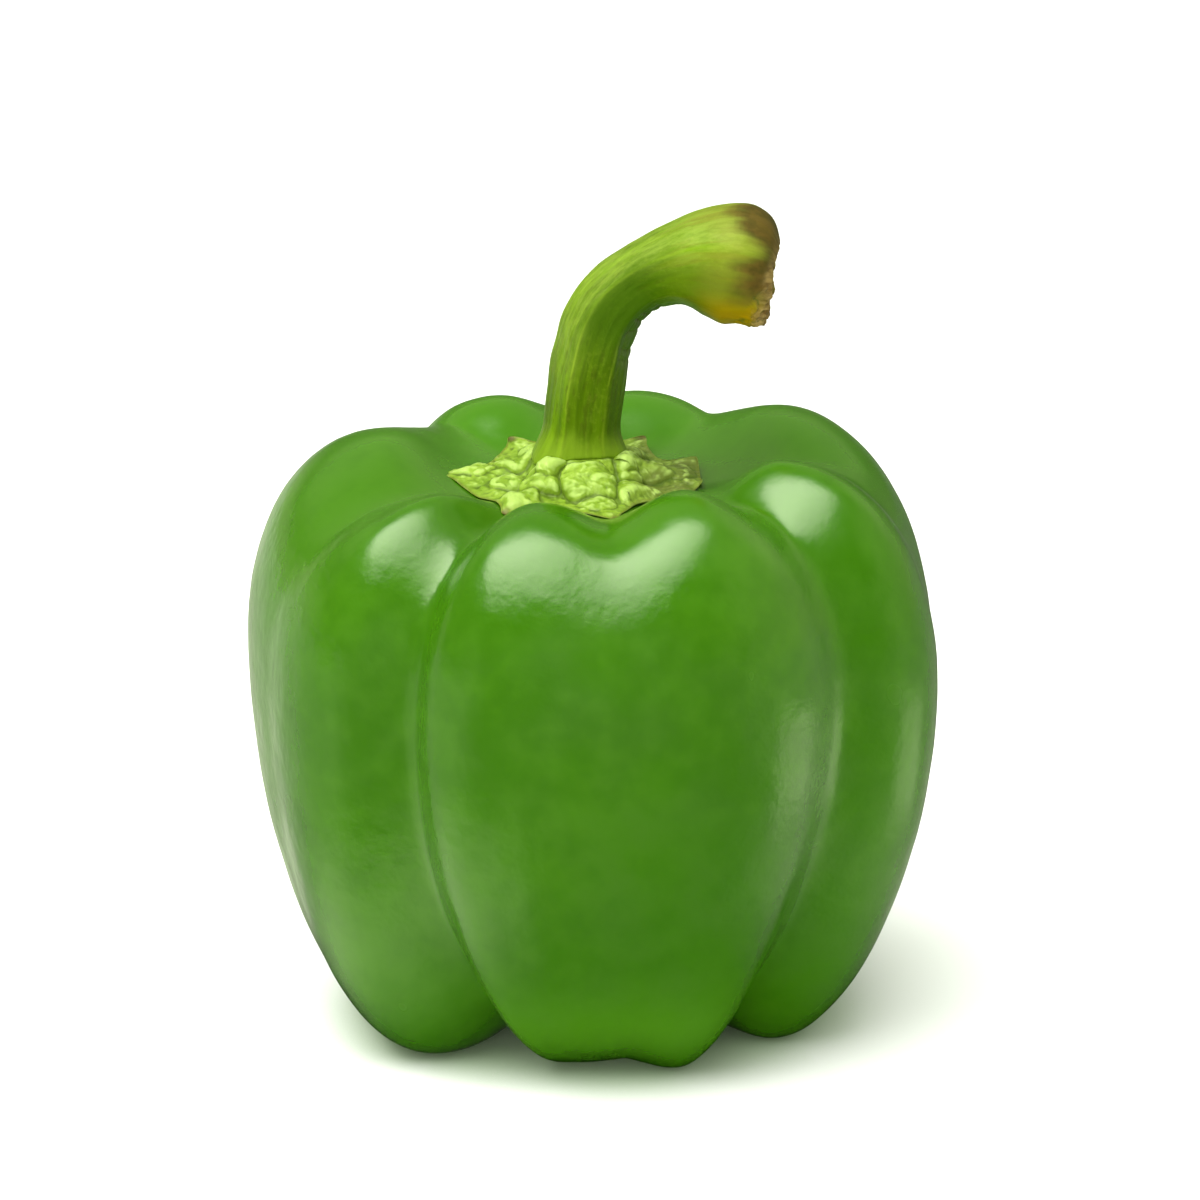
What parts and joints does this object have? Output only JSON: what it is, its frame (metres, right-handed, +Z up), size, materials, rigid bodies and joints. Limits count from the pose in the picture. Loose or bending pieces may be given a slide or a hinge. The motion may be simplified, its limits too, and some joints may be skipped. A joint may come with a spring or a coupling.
{
  "type": "bell pepper",
  "caption": "Blocky green bell pepper with lobed sides, a star-shaped calyx and a bent, ribbed stem, standing on its feet.",
  "frame": {"origin": "on the surface that the pepper stands on, under the middle of its bounding box", "axes": "+Z up, along the fruit's axis; -Y is the front that the picture shows; +X is the right, where the stem's head points"},
  "size_m": [0.0894, 0.0854, 0.1096],
  "materials": {
    "fruit_skin": "glossy, waxy green skin",
    "calyx_green": "matt, lumpy yellow-green",
    "stem_green": "satin green, brown and corky at the scar"
  },
  "bodies": {
    "root": {"fruit": "fruit_skin", "calyx": "calyx_green", "stem": "stem_green"}
  },
  "joints": []
}
